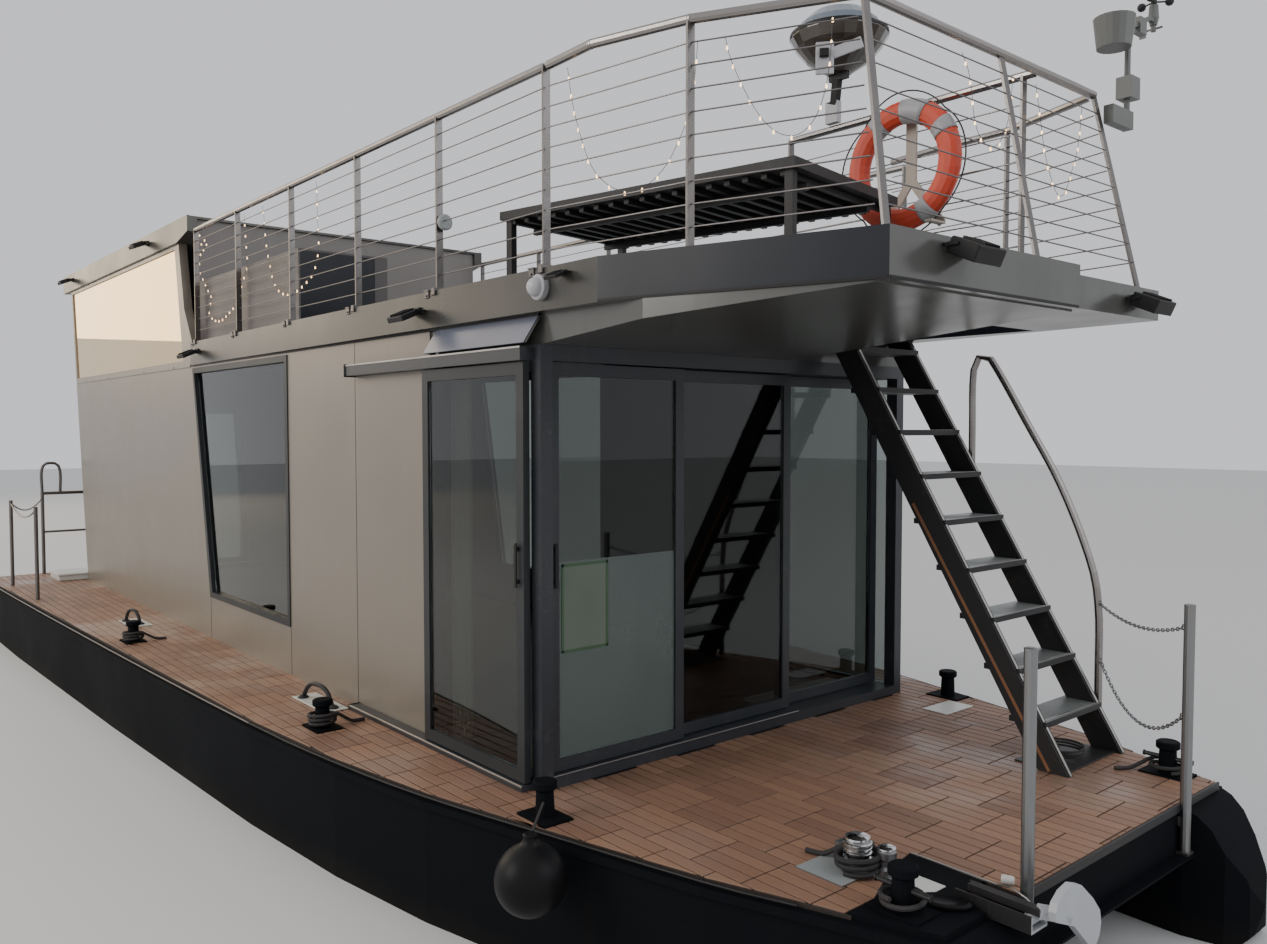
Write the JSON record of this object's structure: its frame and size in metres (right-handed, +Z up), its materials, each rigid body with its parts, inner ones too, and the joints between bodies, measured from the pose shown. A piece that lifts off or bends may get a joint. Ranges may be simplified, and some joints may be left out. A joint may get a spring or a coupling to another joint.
{
  "type": "pontoon houseboat",
  "caption": "Pontoon houseboat: glazed cabin with sliding doors, raised aft room, railed roof terrace, foredeck stair.",
  "frame": {"origin": "centre of the flat pontoon bottoms, on the centre line, midway along the length", "axes": "+X to the bow, +Y to port, +Z up"},
  "size_m": [12.8, 4.694, 5.078],
  "materials": {
    "hull": "black paint, satin",
    "plank": "brown slatted tiles, weathered",
    "panel": "silver-beige composite panel, satin",
    "fascia": "grey composite panel, satin",
    "frame": "anthracite powder coat",
    "glass": "clear",
    "steel": "stainless, brushed",
    "black": "black paint, satin",
    "ring": "red-orange plastic",
    "white": "white plastic",
    "rubber": "black rubber",
    "engine": "dark grey paint",
    "bronze": "bronze coloured bowl"
  },
  "bodies": {
    "boat": {"pontoon_starboard": "hull", "pontoon_port": "hull", "deck_frame": "hull", "deck_planks": "plank", "side_wall_starboard": "panel", "side_wall_port": "panel", "rear_wall": "panel", "upper_front_wall": "panel", "skylight_box": "panel", "terrace_slab_aft": "fascia", "terrace_slab_fore": "fascia", "aft_roof": "fascia", "overhang_fairing": "fascia", "window_frame_starboard": "frame", "window_frame_port": "frame", "glazing_frame": "frame", "fixed_pane_frame": "frame", "window_glass_starboard": "glass", "window_glass_port": "glass", "upper_window_starboard": "glass", "upper_window_port": "glass", "fixed_pane_glass": "glass", "port_side_glass": "glass", "skylight_glass": "glass", "rub_rail_starboard": "steel", "rub_rail_port": "steel", "stair_handrail": "steel", "railing_starboard": "steel", "railing_port": "steel", "railing_bow_starboard": "steel", "railing_bow_port": "steel", "railing_front": "steel", "railing_stair": "steel", "anchor_windlass": "steel", "bow_anchor": "steel", "bow_post_starboard": "steel", "bow_post_port": "steel", "stern_rail_starboard": "steel", "stern_rail_port": "steel", "boarding_stair": "black", "solar_table": "black", "life_ring": "ring", "ring_holder": "white", "weather_mast": "white", "ball_fender": "rubber", "motor_bracket": "engine", "dome_lamp": "bronze"},
    "front_door_1": {"front_door_1_frame": "frame", "front_door_1_glass": "glass"},
    "front_door_2": {"front_door_2_frame": "frame", "front_door_2_glass": "glass"},
    "side_door": {"side_door_frame": "frame", "side_door_glass": "glass"},
    "rear_door": {"rear_door_frame": "frame", "rear_door_glass": "glass"},
    "anemometer": {"anemometer_cups": "black"},
    "vane": {"wind_vane": "white"},
    "motor_swivel": {"motor_swivel": "engine"},
    "motor": {"motor": "engine"},
    "propeller": {"propeller": "engine"}
  },
  "joints": [
    {"name": "front_door_1_slide", "type": "slide", "parent": "boat", "child": "front_door_1", "axis": [0, 1, 0], "range_m": [0, 0.85]},
    {"name": "front_door_2_slide", "type": "slide", "parent": "boat", "child": "front_door_2", "axis": [0, 1, 0], "range_m": [0, 0.85]},
    {"name": "side_door_slide", "type": "slide", "parent": "boat", "child": "side_door", "axis": [-1, 0, 0], "range_m": [0, 0.9]},
    {"name": "rear_door_slide", "type": "slide", "parent": "boat", "child": "rear_door", "axis": [0, 1, 0], "range_m": [0, 0.85]},
    {"name": "anemometer_spin", "type": "hinge", "parent": "boat", "child": "anemometer", "pos_m": [5.6, 1.484, 5.055], "axis": [0, 0, 1], "continuous": true},
    {"name": "vane_turn", "type": "hinge", "parent": "boat", "child": "vane", "pos_m": [5.6, 1.484, 4.915], "axis": [0, 0, 1], "continuous": true},
    {"name": "motor_tilt", "type": "hinge", "parent": "boat", "child": "motor_swivel", "pos_m": [-5.94, 0, 0.98], "axis": [0, 1, 0], "range_deg": [0, 60]},
    {"name": "motor_steer", "type": "hinge", "parent": "motor_swivel", "child": "motor", "pos_m": [-6.01, 0, 0.95], "axis": [0, 0, 1], "range_deg": [-30, 30]},
    {"name": "propeller_spin", "type": "hinge", "parent": "motor", "child": "propeller", "pos_m": [-6.336, 0, 0.24], "axis": [1, 0, 0], "continuous": true}
  ]
}
